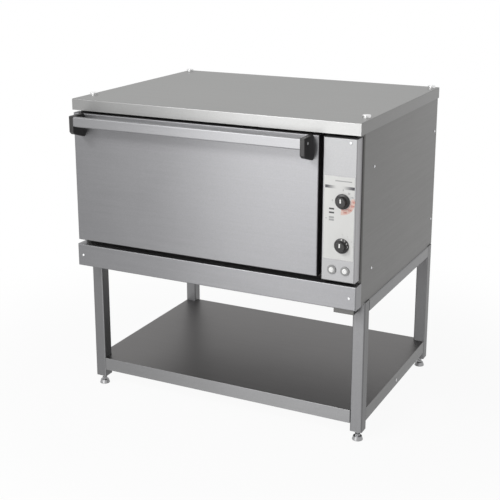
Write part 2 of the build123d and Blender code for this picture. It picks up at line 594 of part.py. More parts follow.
def chamber():
    """Oven chamber, insulation, supports, hearth plate and the seal round the opening."""
    x0, x1 = OPEN_X0 - SHEET, OPEN_X1 + SHEET
    z0, z1 = OPEN_Z0 - SHEET, OPEN_Z1 + SHEET
    y1 = CHAMBER_Y1 + SHEET
    shell = block(x0, x1, FRAME_Y1, y1, z0, z1)
    lip = block(x0 - CHAMBER_LIP, x1 + CHAMBER_LIP, FRAME_Y1, FRAME_Y1 + SHEET,
                z0 - CHAMBER_LIP, z1 + CHAMBER_LIP)
    shell = shell + lip - block(OPEN_X0, OPEN_X1, FRAME_Y1, CHAMBER_Y1, OPEN_Z0, OPEN_Z1)
    parts["oven_chamber"] = shell - tube_holes(OPEN_X1, SHEET) - capillary_hole(OPEN_X1, SHEET)
    t = INSULATION_T
    jacket = block(x0 - t, x1 + t, FRAME_Y1 + SHEET, y1 + t, z0 - t, z1 + t)
    jacket -= block(x0, x1, FRAME_Y1 + SHEET, y1, z0, z1)
    parts["oven_insulation"] = jacket - tube_holes(x1, t) - capillary_hole(x1, t)
    supports = []
    for x in (OPEN_X0 + SUPPORT_END_SET, OPEN_X1 - SUPPORT_END_SET):
        web = block(x, x + SUPPORT_T, FRAME_Y1, y1, FLOOR_Z, z0 - t)
        feet = [block(x, x + SUPPORT_W, FRAME_Y1, y1, z, z + SUPPORT_T)
                for z in (FLOOR_Z, z0 - t - SUPPORT_T)]
        supports.append(joined([web] + feet))
    parts["chamber_supports"] = joined(supports)
    hearth_x = RUNNER_BAR + 2 * RUNNER_ROD_R
    y0, y1 = FRAME_Y1 + HEARTH_FRONT_GAP, CHAMBER_Y1 - HEARTH_BACK_GAP
    top = OPEN_Z0 + HEARTH_RISE
    plate = block(OPEN_X0 + hearth_x, OPEN_X1 - hearth_x, y0, y1, OPEN_Z0, top)
    plate -= block(OPEN_X0, OPEN_X1, y0 + HEARTH_T, y1 - HEARTH_T, OPEN_Z0, top - HEARTH_T)
    parts["hearth_plate"] = plate
    inner = SEAL_OFFSET
    outer = SEAL_OFFSET + SEAL_W
    seal_y0 = DOOR_BACK_Y + LOOSE
    ring = block(OPEN_X0 - outer, OPEN_X1 + outer, seal_y0, FRAME_Y0, OPEN_Z0 - outer, OPEN_Z1 + outer)
    ring -= block(OPEN_X0 - inner, OPEN_X1 + inner, seal_y0, FRAME_Y0, OPEN_Z0 - inner, OPEN_Z1 + inner)
    parts["door_seal"] = fillet(front_edges(ring), SEAL_ROUND)


def element_path(first_y, z):
    """Line through the middle of one element: runs along X, joined by half-round bends."""
    points = [(TUBE_END_X, first_y, z)]
    for run in range(TUBE_RUNS):
        y = first_y + run * TUBE_PITCH
        end = TUBE_LEFT_X if run % 2 == 0 else TUBE_RIGHT_X
        if run > 0:
            points.append((points[-1][0], y, z))
        if run < TUBE_RUNS - 1:
            points.append((end, y, z))
    points.append((TUBE_END_X, first_y + (TUBE_RUNS - 1) * TUBE_PITCH, z))
    return FilletPolyline(points, radius=TUBE_PITCH / 2 - 1.0)


def element(first_y, z):
    """One tubular heating element with its two terminal pins."""
    path = element_path(first_y, z)
    tube = sweep(Plane(origin=path @ 0, z_dir=path % 0) * Circle(TUBE_R), path=path)
    pins = [rod("x", TERMINAL_R, (TUBE_END_X - 1, first_y + run * TUBE_PITCH, z), TERMINAL_L + 1)
            for run in (0, TUBE_RUNS - 1)]
    return joined([tube] + pins)


def heating():
    """Upper and lower elements and the plates that carry their far ends."""
    parts["upper_elements"] = joined(element(y, UPPER_TUBE_Z) for y in TUBE_FIRST_Y)
    parts["lower_elements"] = joined(element(y, LOWER_TUBE_Z) for y in TUBE_FIRST_Y)
    plates = []
    edge = TUBE_BRACKET_EDGE
    spans = ((UPPER_TUBE_Z, UPPER_TUBE_Z - edge, OPEN_Z1), (LOWER_TUBE_Z, OPEN_Z0, LOWER_TUBE_Z + edge))
    for z, z0, z1 in spans:
        for first in TUBE_FIRST_Y:
            y0 = first - TUBE_BRACKET_OVER
            y1 = first + TUBE_GROUP_D + TUBE_BRACKET_OVER
            plate = block(TUBE_BRACKET_X, TUBE_BRACKET_X + TUBE_BRACKET_T, y0, y1, z0, z1)
            for run in range(TUBE_RUNS):
                start = (TUBE_BRACKET_X - 1, first + run * TUBE_PITCH, z)
                plate -= rod("x", TUBE_R + LOOSE, start, TUBE_BRACKET_T + 2)
            plates.append(plate)
    parts["element_brackets"] = joined(plates)


def runner(side):
    """Side rack: two uprights on the wall, with a carrying and a guard rod at each level."""
    wall = (OPEN_X0, OPEN_X1)[side]
    inward = (1, -1)[side]
    x0, x1 = sorted((wall, wall + inward * RUNNER_BAR))
    z0 = RUNNER_Z[0] - RUNNER_END
    z1 = RUNNER_Z[-1] + RUNNER_GUARD + RUNNER_END
    solids = [block(x0, x1, y - RUNNER_BAR_W / 2, y + RUNNER_BAR_W / 2, z0, z1) for y in RUNNER_Y]
    for level in RUNNER_Z:
        for z in (level, level + RUNNER_GUARD):
            start = (RUNNER_ROD_X[side], RUNNER_Y[0] - RUNNER_OVER, z)
            solids.append(rod("y", RUNNER_ROD_R, start, RUNNER_Y[1] - RUNNER_Y[0] + 2 * RUNNER_OVER))
    return joined(solids)


def wire_grid():
    """Wire grid: a round-wire frame, cross ties, and thinner bars welded on top of it."""
    x0, x1 = GRID_X
    depth = GRID_BACK_Y - GRID_FRONT_Y
    middle = Pos((x0 + x1) / 2, (GRID_FRONT_Y + GRID_BACK_Y) / 2, GRID_Z)
    path = (middle * RectangleRounded(x1 - x0, depth, GRID_CORNER)).wires()[0]
    frame = sweep(Plane(origin=path @ 0, z_dir=path % 0) * Circle(GRID_WIRE_R), path=path)
    solids = [frame]
    for i in range(1, GRID_TIES + 1):
        y = GRID_FRONT_Y + depth * i / (GRID_TIES + 1)
        solids.append(rod("x", GRID_TIE_R, (x0, y, GRID_Z), x1 - x0))
    bar_z = GRID_Z + GRID_WIRE_R + GRID_BAR_R - GRID_WELD
    spaces = round((x1 - x0) / GRID_PITCH)
    for i in range(1, spaces):
        x = x0 + (x1 - x0) * i / spaces
        start = (x, GRID_FRONT_Y - GRID_WIRE_R / 2, bar_z)
        solids.append(rod("y", GRID_BAR_R, start, depth + GRID_WIRE_R))
    return joined(solids)


def oven_fittings():
    """Runners and the grid that slides on them."""
    parts["runner_left"] = runner(0)
    parts["runner_right"] = runner(1)
    parts["wire_grid"] = wire_grid()


def control_panel():
    """Control panel, label plate, lower fascia and the cover of the overheat cut-out."""
    panel = pan(PANEL_X0, PANEL_X1, FACE_Y, CASING_Y0, PANEL_Z0, PANEL_Z1, FRONT_ROUND)
    label_z0 = PANEL_Z0 + LABEL_FOOT_SET
    label = block(PANEL_X0 + LABEL_LEFT_SET, PANEL_X1 - LABEL_RIGHT_SET, FACE_Y - LABEL_T, FACE_Y,
                  label_z0, label_z0 + LABEL_H)
    for z in (THERMOSTAT_Z, SWITCH_Z):
        hole = rod("y", BUSH_R + SCREW_HOLE_GAP, (KNOB_X, FACE_Y - 5, z), 10)
        panel -= hole
        label -= hole
    for x in LAMP_XS:
        panel -= rod("y", LAMP_BARREL_R + SCREW_HOLE_GAP, (x, FACE_Y - 5, LAMP_Z), 10)
    panel -= rod("y", SCREW_R + SCREW_HOLE_GAP, (PANEL_SCREW[0], FACE_Y - 5, PANEL_SCREW[1]), 10)
    panel += block(PANEL_X0, PANEL_X0 + SHEET, CASING_Y0, FRAME_Y0, PANEL_Z0, PANEL_Z1)
    parts["control_panel"] = panel
    parts["label_plate"] = label
    half = TOP_W / 2 - FASCIA_INSET
    fascia = pan(-half, half, FACE_Y, CASING_Y0, STAND_Z, FASCIA_Z1, FRONT_ROUND)
    for x, z in FASCIA_SCREWS:
        fascia -= rod("y", SCREW_R + SCREW_HOLE_GAP, (x, FACE_Y - 5, z), 10)
    parts["lower_fascia"] = fascia
    x0 = PANEL_X0 + CUTOUT_LEFT_SET
    x1 = PANEL_X1 - CUTOUT_RIGHT_SET
    y1 = LEG_Y0 - CUTOUT_BACK_GAP
    z0 = STAND_Z - CUTOUT_H
    cover = block(x0, x1, CASING_Y0, y1, z0, STAND_Z)
    cover -= block(x0 + SHEET, x1 - SHEET, CASING_Y0 + SHEET, y1 - SHEET, z0 + SHEET, STAND_Z)
    parts["cutout_cover"] = cover


def rotary_unit(z, width, depth):
    """Body of a rotary control behind the panel, with the bush that carries its shaft."""
    back = FACE_Y + SHEET
    body = block(KNOB_X - width / 2, KNOB_X + width / 2, back, back + depth, z - width / 2, z + width / 2)
    bush = rod("y", BUSH_R, (KNOB_X, FACE_Y - LABEL_T - BUSH_REACH, z), BUSH_REACH + LABEL_T + SHEET)
    bore = rod("y", SHAFT_R + BUSH_GAP, (KNOB_X, FACE_Y - 10, z), 30)
    return joined([body, bush]) - bore


def knob(z):
    """Knob with a round skirt, a tapered body, a raised grip bar and a recess for the bush."""
    back = KNOB_BACK_Y
    skirt = rod("y", KNOB_R, (KNOB_X, back - KNOB_SKIRT_T, z), KNOB_SKIRT_T)
    body_h = KNOB_H - KNOB_SKIRT_T
    taper = Cone(KNOB_BODY_R, KNOB_BODY_R - 2.0, body_h)
    taper = Pos(KNOB_X, back - KNOB_SKIRT_T - body_h / 2, z) * Rot(90, 0, 0) * taper
    grip = block(KNOB_X - KNOB_GRIP_W / 2, KNOB_X + KNOB_GRIP_W / 2,
                 back - KNOB_H - KNOB_GRIP_H, back - KNOB_SKIRT_T, z - KNOB_BODY_R, z + KNOB_BODY_R)
    shape = joined([skirt, taper, grip])
    shape -= rod("y", KNOB_RECESS_R, (KNOB_X, back - KNOB_RECESS_D, z), KNOB_RECESS_D)
    shape -= rod("y", SHAFT_R + FIT_GAP, (KNOB_X, back - KNOB_BORE_D, z), KNOB_BORE_D)
    return shape


def shaft(z):
    """Control shaft from inside the rotary unit into the knob."""
    start = KNOB_BACK_Y - KNOB_BORE_D + LOOSE
    return rod("y", SHAFT_R, (KNOB_X, start, z), FACE_Y + SHAFT_INSIDE - start)


def bulb_and_capillary():
    """Thermostat bulb in the chamber, its two wall clips and the capillary to the control panel."""
    bulb = rod("y", BULB_R, (BULB_X, BULB_Y0, BULB_Z), BULB_L)
    solids = [bulb]
    for y in (BULB_Y0 + BULB_CLIP_SET, BULB_Y0 + BULB_L - BULB_CLIP_SET):
        solids.append(block(BULB_X, OPEN_X1, y - BULB_R, y + BULB_R,
                            BULB_Z - BULB_R / 2, BULB_Z + BULB_R / 2))
    body_back = FACE_Y + SHEET + THERMOSTAT_D
    points = [(BULB_X, BULB_Y0 + 1, BULB_Z), (BULB_X, CAPILLARY_Y, BULB_Z),
              (CAPILLARY_X, CAPILLARY_Y, BULB_Z), (CAPILLARY_X, CAPILLARY_Y, THERMOSTAT_Z + CAPILLARY_RISE),
              (KNOB_X, body_back + CAPILLARY_LOOP, THERMOSTAT_Z), (KNOB_X, body_back - 1.0, THERMOSTAT_Z)]
    path = FilletPolyline(points, radius=CAPILLARY_BEND)
    solids.append(sweep(Plane(origin=path @ 0, z_dir=path % 0) * Circle(CAPILLARY_R), path=path))
    return joined(solids)


def electrics():
    """Thermostat, heat switch, knobs, pilot lamps, terminal block and cable gland."""
    thermostat = rotary_unit(THERMOSTAT_Z, THERMOSTAT_W, THERMOSTAT_D)
    body_back = FACE_Y + SHEET + THERMOSTAT_D
    thermostat -= rod("y", CAPILLARY_R + LOOSE, (KNOB_X, body_back - 5.0, THERMOSTAT_Z), 10.0)
    parts["thermostat_body"] = thermostat
    parts["heat_switch_body"] = rotary_unit(SWITCH_Z, SWITCH_W, SWITCH_D)
    parts["thermostat_shaft"] = shaft(THERMOSTAT_Z)
    parts["heat_switch_shaft"] = shaft(SWITCH_Z)
    parts["thermostat_knob"] = knob(THERMOSTAT_Z)
    parts["heat_switch_knob"] = knob(SWITCH_Z)
    parts["thermostat_bulb"] = bulb_and_capillary()
    holders, lenses = [], []
    front = FACE_Y - LAMP_BEZEL_T
    for x in LAMP_XS:
        bezel = rod("y", LAMP_R, (x, front, LAMP_Z), LAMP_BEZEL_T)
        bezel = fillet(bezel.edges().filter_by(GeomType.CIRCLE).sort_by(Axis.Y)[0], 1.2)
        barrel = rod("y", LAMP_BARREL_R, (x, FACE_Y, LAMP_Z), LAMP_BARREL_L)
        seat = rod("y", LENS_R + FIT_GAP, (x, front - 1, LAMP_Z), LENS_DEPTH + 5.0)
        holders.append(joined([bezel, barrel]) - seat)
        lens = rod("y", LENS_R, (x, front - LENS_RISE, LAMP_Z), LENS_RISE + LENS_DEPTH)
        lenses.append(fillet(lens.edges().filter_by(GeomType.CIRCLE).sort_by(Axis.Y)[0], 2.5))
    parts["pilot_lamp_holders"] = joined(holders)
    parts["pilot_lamp_lenses"] = joined(lenses)
    y1 = BACK_Y - TERMINAL_BLOCK_SET
    y0 = y1 - TERMINAL_BLOCK_D
    x0 = BAY_X - TERMINAL_BLOCK_W / 2
    terminal = block(x0, x0 + TERMINAL_BLOCK_W, y0, y1, FLOOR_Z, FLOOR_Z + TERMINAL_BLOCK_H)
    hole_z = FLOOR_Z + TERMINAL_BLOCK_H / 2
    for i in range(TERMINAL_POLES):
        x = x0 + TERMINAL_BLOCK_W * (i + 0.5) / TERMINAL_POLES
        terminal -= rod("z", TERMINAL_R, (x, (y0 + y1) / 2, hole_z), TERMINAL_BLOCK_H)
    parts["terminal_block"] = terminal
    parts["cable_gland"] = cable_gland()


def cable_gland():
    """Bushing through the back panel, with a flange outside and a nut inside."""
    flange = rod("y", GLAND_FLANGE_R, (BAY_X, CASING_Y1, GLAND_Z), GLAND_FLANGE_T)
    flange = fillet(flange.edges().filter_by(GeomType.CIRCLE).sort_by(Axis.Y)[-1], 1.0)
    inside = BACK_Y - GLAND_BODY_L
    body = rod("y", GLAND_BODY_R, (BAY_X, inside, GLAND_Z), GLAND_BODY_L + SHEET)
    nut = hexagon("y", GLAND_NUT_AF, (BAY_X, BACK_Y - GLAND_NUT_H, GLAND_Z), GLAND_NUT_H)
    bore = rod("y", GLAND_BORE_R, (BAY_X, inside - 1, GLAND_Z), 2 * GLAND_BODY_L)
    return joined([flange, body, nut]) - bore


def door():
    """Drop-down door: skins, insulation, hinge blocks and pins."""
    outer = pan(DOOR_X0, DOOR_X1, FACE_Y, DOOR_BACK_Y, DOOR_Z0, DOOR_Z1, FRONT_ROUND)
    x0, x1 = DOOR_X0 + SHEET, DOOR_X1 - SHEET
    z0, z1 = DOOR_Z0 + SHEET, DOOR_Z1 - SHEET
    y0, y1 = FACE_Y + SHEET, DOOR_BACK_Y - SHEET
    px0, px1 = OPEN_X0 + PLUG_INSET, OPEN_X1 - PLUG_INSET
    pz0, pz1 = OPEN_Z0 + PLUG_INSET, OPEN_Z1 - PLUG_INSET
    inner = block(x0, x1, y1, DOOR_BACK_Y, z0, z1) + block(px0, px1, y1, DOOR_BACK_Y + PLUG_H, pz0, pz1)
    inner = fillet(inner.faces().sort_by(Axis.Y)[-1].edges(), FRONT_ROUND)
    inner -= block(px0 + SHEET, px1 - SHEET, y1, DOOR_BACK_Y + PLUG_H - SHEET, pz0 + SHEET, pz1 - SHEET)
    block_z1 = z0 + BLOCK_H
    half = EAR_SLOT + CHEEK_T
    slot_y0 = HINGE_Y - EAR_R - SWING_GAP
    slot_z1 = HINGE_Z + EAR_R + SWING_GAP
    blocks, pins = [], []
    for x in EAR_XS:
        slot = block(x - EAR_SLOT, x + EAR_SLOT, slot_y0, DOOR_BACK_Y + 1, DOOR_Z0 - 1, slot_z1)
        outer -= slot
        inner -= slot
        cheeks = block(x - half, x + half, y0, y1, z0, block_z1)
        low_front = cheeks.edges().filter_by(Axis.X).group_by(Axis.Y)[0].sort_by(Axis.Z)[0]
        cheeks = chamfer(low_front, FRONT_ROUND - SHEET) - slot
        blocks.append(cheeks - rod("x", PIN_R + FIT_GAP, (x - half - 1, HINGE_Y, HINGE_Z), 2 * half + 2))
        pins.append(rod("x", PIN_R, (x - half, HINGE_Y, HINGE_Z), 2 * half))
    for z in HANDLE_BOLT_ZS:
        for left, right in BRACKET_SPANS:
            outer -= rod("y", HANDLE_SCREW_R + SCREW_HOLE_GAP, ((left + right) / 2, FACE_Y - 1, z), 5)
    parts["door_outer_panel"] = outer
    parts["door_inner_panel"] = inner
    wool_y0 = y0 + HANDLE_BOLT_HEAD_H
    wool = block(x0, x1, wool_y0, y1, block_z1, z1)
    parts["door_insulation"] = wool + block(EAR_XS[0] + half, EAR_XS[1] - half, wool_y0, y1, z0, block_z1)
    parts["hinge_blocks"] = joined(blocks)
    parts["hinge_pins"] = joined(pins)


def handle():
    """Handle bar, its two end brackets and their fasteners."""
    top = DOOR_Z1
    bolts = []
    for name, (left, right) in zip(("handle_bracket_left", "handle_bracket_right"), BRACKET_SPANS):
        outline = Polyline((FACE_Y, top), (FACE_Y, top - BRACKET_FOOT_DROP),
                           (HANDLE_Y + BRACKET_CHAMFER, top - BRACKET_DROP),
                           (HANDLE_Y, top - BRACKET_DROP + BRACKET_CHAMFER), (HANDLE_Y, top), close=True)
        face = Plane(origin=(left, 0, 0), x_dir=(0, 1, 0), z_dir=(1, 0, 0)) * make_face(outline)
        bracket = extrude(face, BRACKET_W)
        sharp = [e for e in bracket.edges() if e.center().Y < FACE_Y - 1]
        bracket = fillet(sharp, BRACKET_ROUND)
        gap = INSERT_GAP
        socket = block(left, right, BAR_Y - BAR_T / 2 - gap, BAR_Y + BAR_T / 2 + gap,
                       BAR_Z - BAR_H / 2 - gap, BAR_Z + BAR_H / 2 + gap)
        socket = fillet(socket.edges().filter_by(Axis.X), BAR_ROUND)
        inward = 1 if left < 0 else -1
        bracket -= Pos(inward * (BRACKET_W - BAR_SOCKET), 0, 0) * socket
        outer_x = left if inward > 0 else right
        middle = (left + right) / 2
        y = BAR_Y + HANDLE_SCREW_SET
        depth = HANDLE_SCREW_SUNK
        bracket -= rod("x", HANDLE_SCREW_HEAD_R + LOOSE, (outer_x - depth, y, BAR_Z), 2 * depth)
        start_x = outer_x if inward > 0 else outer_x - depth
        bolts.append(rod("x", HANDLE_SCREW_HEAD_R, (start_x, y, BAR_Z), depth))
        for bolt_z in HANDLE_BOLT_ZS:
            bracket -= rod("y", HANDLE_SCREW_R + SCREW_HOLE_GAP, (middle, FACE_Y - HANDLE_BOLT_L, bolt_z),
                           HANDLE_BOLT_L)
            shank = rod("y", HANDLE_SCREW_R, (middle, FACE_Y - HANDLE_BOLT_L + 1, bolt_z),
                        HANDLE_BOLT_L - 1 + SHEET)
            head = rod("y", HANDLE_SCREW_HEAD_R, (middle, FACE_Y + SHEET, bolt_z), HANDLE_BOLT_HEAD_H)
            bolts.append(shank + head)
        parts[name] = bracket
    left = BRACKET_SPANS[0][1] - BAR_SOCKET
    right = BRACKET_SPANS[1][0] + BAR_SOCKET
    bar = block(left, right, BAR_Y - BAR_T / 2, BAR_Y + BAR_T / 2, BAR_Z - BAR_H / 2, BAR_Z + BAR_H / 2)
    parts["handle_bar"] = fillet(bar.edges().filter_by(Axis.X), BAR_ROUND)
    parts["handle_screws"] = joined(bolts)


def screw(axis, x, y, z, side):
    """Pan-head screw through the sheet at a point. Its head looks along the axis, to the given side."""
    lengths = (SCREW_HEAD_H, -SCREW_L)
    step = {"x": Vector(side, 0, 0), "y": Vector(0, side, 0)}[axis]
    solids = []
    for radius, length in zip((SCREW_HEAD_R, SCREW_R), lengths):
        middle = Vector(x, y, z) + step * (length / 2)
        solids.append(Pos(middle.X, middle.Y, middle.Z) * TURN[axis] * Cylinder(radius, abs(length)))
    head, shank = solids
    ends = head.edges().filter_by(GeomType.CIRCLE).sort_by(Axis.X if axis == "x" else Axis.Y)
    return fillet(ends[-1] if side > 0 else ends[0], 1.0) + shank


def casing_screws():
    """Screws of the side panels, the back panel, the control panel and the fascia."""
    screws = [screw("x", sx * CASING_X, y, z, sx) for sx in (-1, 1) for y, z in SIDE_SCREWS]
    screws += [screw("y", x, CASING_Y1, z, 1) for x, z in BACK_SCREWS]
    screws += [screw("y", x, FACE_Y, z, -1) for x, z in FASCIA_SCREWS + [PANEL_SCREW]]
    parts["casing_screws"] = joined(screws)


stand()
lower_shelf()
top_panel()
casing()
front_frame()
chamber()
heating()
oven_fittings()
control_panel()
electrics()
door()
handle()
casing_screws()

os.makedirs("parts", exist_ok=True)
for node, shape in parts.items():
    export_step(shape, f"parts/{node}.step")
print(len(parts), "parts written")
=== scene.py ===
# %% [markdown]
# # A roasting cabinet on its stand
# The real cabinet is folded stainless sheet on a stand of square tube. Its frame comes from the
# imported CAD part, so each piece is already in its place, in metres, with X to the right, Y to the
# back and Z up. This lesson gives that frame a camera, light and finishes, and makes the small
# pieces anew that plain CAD shapes can't carry: knobs, lamp lenses, screw heads and printed marks.

# %% Load the fixed frame
import json
import math

import bpy
import bmesh
import numpy as np
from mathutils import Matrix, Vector

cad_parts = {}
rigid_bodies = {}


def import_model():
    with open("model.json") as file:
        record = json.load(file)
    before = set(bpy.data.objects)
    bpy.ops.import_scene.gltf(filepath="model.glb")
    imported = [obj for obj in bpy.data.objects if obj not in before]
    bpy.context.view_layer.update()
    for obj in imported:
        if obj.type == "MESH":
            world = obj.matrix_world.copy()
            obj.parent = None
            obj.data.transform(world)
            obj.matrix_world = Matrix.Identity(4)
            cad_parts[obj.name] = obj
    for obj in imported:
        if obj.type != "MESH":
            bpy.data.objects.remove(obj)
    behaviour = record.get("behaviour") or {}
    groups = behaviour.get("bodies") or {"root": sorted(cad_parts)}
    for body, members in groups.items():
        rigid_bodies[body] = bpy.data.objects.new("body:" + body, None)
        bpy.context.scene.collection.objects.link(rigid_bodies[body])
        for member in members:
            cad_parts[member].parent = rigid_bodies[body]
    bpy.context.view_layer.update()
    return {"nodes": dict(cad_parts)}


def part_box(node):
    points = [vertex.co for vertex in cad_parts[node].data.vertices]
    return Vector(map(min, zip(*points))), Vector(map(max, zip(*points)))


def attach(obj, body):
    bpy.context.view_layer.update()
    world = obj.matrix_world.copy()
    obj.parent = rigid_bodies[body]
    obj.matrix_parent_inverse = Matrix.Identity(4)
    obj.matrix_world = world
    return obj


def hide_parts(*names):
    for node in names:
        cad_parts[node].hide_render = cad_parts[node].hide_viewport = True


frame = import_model()
nodes = frame["nodes"]

# %% [markdown]
# ## Camera
# The picture was taken from the right of the cabinet and a little above it, with the frame shifted
# down, so upright edges lean only slightly. The place, lens and shift come from matching some fifty
# corners of the cabinet, so they are used as they are.

# %% Stand the camera where the picture was taken
AZIMUTH, ELEVATION = math.radians(26.47), math.radians(14.78)
back = Vector((math.sin(AZIMUTH) * math.cos(ELEVATION), -math.cos(AZIMUTH) * math.cos(ELEVATION),
               math.sin(ELEVATION)))
camera = bpy.data.objects.new("camera", bpy.data.cameras.new("camera"))
camera.data.sensor_width, camera.data.lens, camera.data.shift_y = 36.0, 74.64, -0.1
camera.location = (1.508, -3.085, 1.575)
camera.rotation_mode = "QUATERNION"
camera.rotation_quaternion = (-back).to_track_quat("-Z", "Y")
bpy.context.scene.collection.objects.link(camera)
bpy.context.scene.camera = camera
bpy.context.scene.view_settings.view_transform = "Standard"
print("camera at", tuple(round(v, 3) for v in camera.location))

# %% [markdown]
# ## Sums of shader nodes
# A finish is a web of nodes. Written as sums in Python it stays readable: one class stands for a
# socket and turns + - * and the like into Math nodes, and one method makes any other node.


# %% A socket that can be added and multiplied
class Value:
    """An output socket. Sums of numbers use Math nodes, and sums of vectors Vector Math nodes."""

    def __init__(self, web, socket):
        self.web, self.socket = web, socket

    def sum(self, operation, first, second):
        vector = self.socket.type == "VECTOR"
        kind = "ShaderNodeVectorMath" if vector else "ShaderNodeMath"
        return self.web.node(kind, {"operation": operation}, {0: first, 1: second})

    def __add__(self, other):
        return self.sum("ADD", self, other)

    def __sub__(self, other):
        return self.sum("SUBTRACT", self, other)

    def __rsub__(self, other):
        return self.sum("SUBTRACT", other, self)

    def __mul__(self, other):
        return self.sum("MULTIPLY", self, other)

    def __gt__(self, other):
        return self.sum("GREATER_THAN", self, other)

    __radd__ = __add__
    __rmul__ = __mul__


# %% The web of nodes of one finish
class Web:
    """The nodes of a material or of the world. node() makes one of any type: its settings come
    first, then the numbers, colours or links of its sockets."""

    def __init__(self, owner):
        owner.use_nodes = True
        self.owner, self.tree = owner, owner.node_tree
        self.tree.nodes.clear()

    def node(self, kind, settings=None, sockets=None, out=0):
        made = self.tree.nodes.new(kind)
        for key, setting in (settings or {}).items():
            setattr(made, key, setting)
        for key, value in (sockets or {}).items():
            if isinstance(value, Value):
                self.tree.links.new(value.socket, made.inputs[key])
            else:
                made.inputs[key].default_value = value
        return Value(self, made.outputs[out]) if len(made.outputs) else None

    def place(self, scale=(1.0, 1.0, 1.0), middle=(0.0, 0.0, 0.0)):
        """Object coordinates from a middle, stretched."""
        spot = self.node("ShaderNodeTexCoord", out="Object")
        spot = spot - middle
        return self.node("ShaderNodeMapping", sockets={"Vector": spot, "Scale": scale})

    def noise(self, scale, detail=3.0, roughness=0.55):
        """Soft noise round 0.5, with so many waves to a metre along X, Y and Z."""
        return self.node("ShaderNodeTexNoise", sockets={
            "Vector": self.place(scale), "Scale": 1.0, "Detail": detail, "Roughness": roughness})

    def mix(self, share, first, second):
        """A colour that goes from the first to the second as the share goes from 0 to 1."""
        return self.node("ShaderNodeMix", {"data_type": "RGBA"},
                         {0: share, 6: first, 7: second}, out=2)

    def bump(self, height, strength, distance):
        """A Normal from a height."""
        return self.node("ShaderNodeBump", sockets={"Height": height, "Strength": strength,
                                                    "Distance": distance})

    def step(self, value, low, high):
        """0 below low, 1 above high and smooth between."""
        return self.node("ShaderNodeMapRange", {"interpolation_type": "SMOOTHSTEP"},
                         {"Value": value, "From Min": low, "From Max": high})

    def tint(self, colour, by):
        """A colour multiplied by a second one, channel by channel."""
        return self.node("ShaderNodeVectorMath", {"operation": "MULTIPLY"}, {0: colour, 1: by},
                         out="Vector")

    def part(self, vector, axis):
        """One number of a vector: its X, Y or Z."""
        return self.node("ShaderNodeSeparateXYZ", sockets={0: vector}, out=axis)

    def surface(self, **sockets):
        """A Principled shader as the surface. An underscore in a name stands for a blank."""
        named = {key.replace("_", " "): value for key, value in sockets.items()}
        shader = self.node("ShaderNodeBsdfPrincipled", sockets=named)
        self.node("ShaderNodeOutputMaterial", sockets={"Surface": shader})
        return self.owner


def finish(name):
    """The empty web of a new material."""
    return Web(bpy.data.materials.new(name))


def rgb(r, g, b):
    """A colour with full alpha."""
    return (r, g, b, 1.0)


def darker_and_lighter(tone, by):
    """Two colours, by so large a share under and over a tone."""
    return rgb(*(v * (1 - by) for v in tone)), rgb(*(v * (1 + by) for v in tone))


# %% [markdown]
# ## Floor, background and light
# The picture has a white background. The world could be lit until it looks white, but then it would
# also flood the cabinet with light. Instead a switch on the kind of ray makes the floor and the
# world white where they are looked at: by the camera, in the gloss of the steel and through the
# clear lenses. A matt face gathers a plainer, dimmer light from them. The floor keeps the cabinet's
# shadow near its feet and then fades into the background.


# %% Tell what is looked at from what gives light
def looked_at(web):
    """1 for a ray from the camera, off gloss or through glass, and 0 for one off a matt face."""
    camera, gloss, glass = (web.node("ShaderNodeLightPath", out=f"Is {kind} Ray")
                            for kind in ("Camera", "Glossy", "Transmission"))
    either = web.node("ShaderNodeMath", {"operation": "MAXIMUM"}, {0: gloss, 1: glass})
    return web.node("ShaderNodeMath", {"operation": "MAXIMUM"}, {0: camera, 1: either})


# %% Make the floor
def disc(name, radius, z, count=96):
    """A flat disc: points at (radius cos a, radius sin a) for angles a all the way round."""
    angle = np.linspace(0, 2 * np.pi, count, endpoint=False)
    points = np.stack([radius * np.cos(angle), radius * np.sin(angle), np.full(count, z)], axis=1)
    mesh = bpy.data.meshes.new(name)
    mesh.from_pydata(points.tolist(), [], [list(range(count))])
    made = bpy.data.objects.new(name, mesh)
    bpy.context.scene.collection.objects.link(made)
    return made


def floor_finish():
    """Matt and pale, mixed where it is looked at with a white glow that grows with the distance."""
    web = finish("pale_floor")
    away = web.node("ShaderNodeVectorMath", {"operation": "LENGTH"}, {0: web.place()}, out="Value")
    share = looked_at(web) * (web.step(away, 0.7, 1.7) * 0.06 + 0.94)
    matt = web.node("ShaderNodeBsdfDiffuse", sockets={"Color": rgb(0.8, 0.8, 0.8)})
    glow = web.node("ShaderNodeEmission", sockets={"Color": rgb(1.0, 1.0, 1.0), "Strength": 1.0})
    mixed = web.node("ShaderNodeMixShader", sockets={0: share, 1: matt, 2: glow})
    web.node("ShaderNodeOutputMaterial", sockets={"Surface": mixed})
    return web.owner


floor = disc("floor", 2.6, -0.0005)
floor.data.materials.append(floor_finish())
print("floor", tuple(round(v, 2) for v in floor.dimensions))

# %% Make the studio round it
studio = bpy.data.worlds.new("studio")
bpy.context.scene.world = studio
web = Web(studio)
FILL = 0.15
sky = web.node("ShaderNodeBackground", sockets={
    "Color": rgb(1.0, 1.0, 1.0), "Strength": looked_at(web) * (1.0 - FILL) + FILL})
web.node("ShaderNodeOutputWorld", sockets={"Surface": sky})
print("the world is 1 where it is looked at and", FILL, "for matt faces")
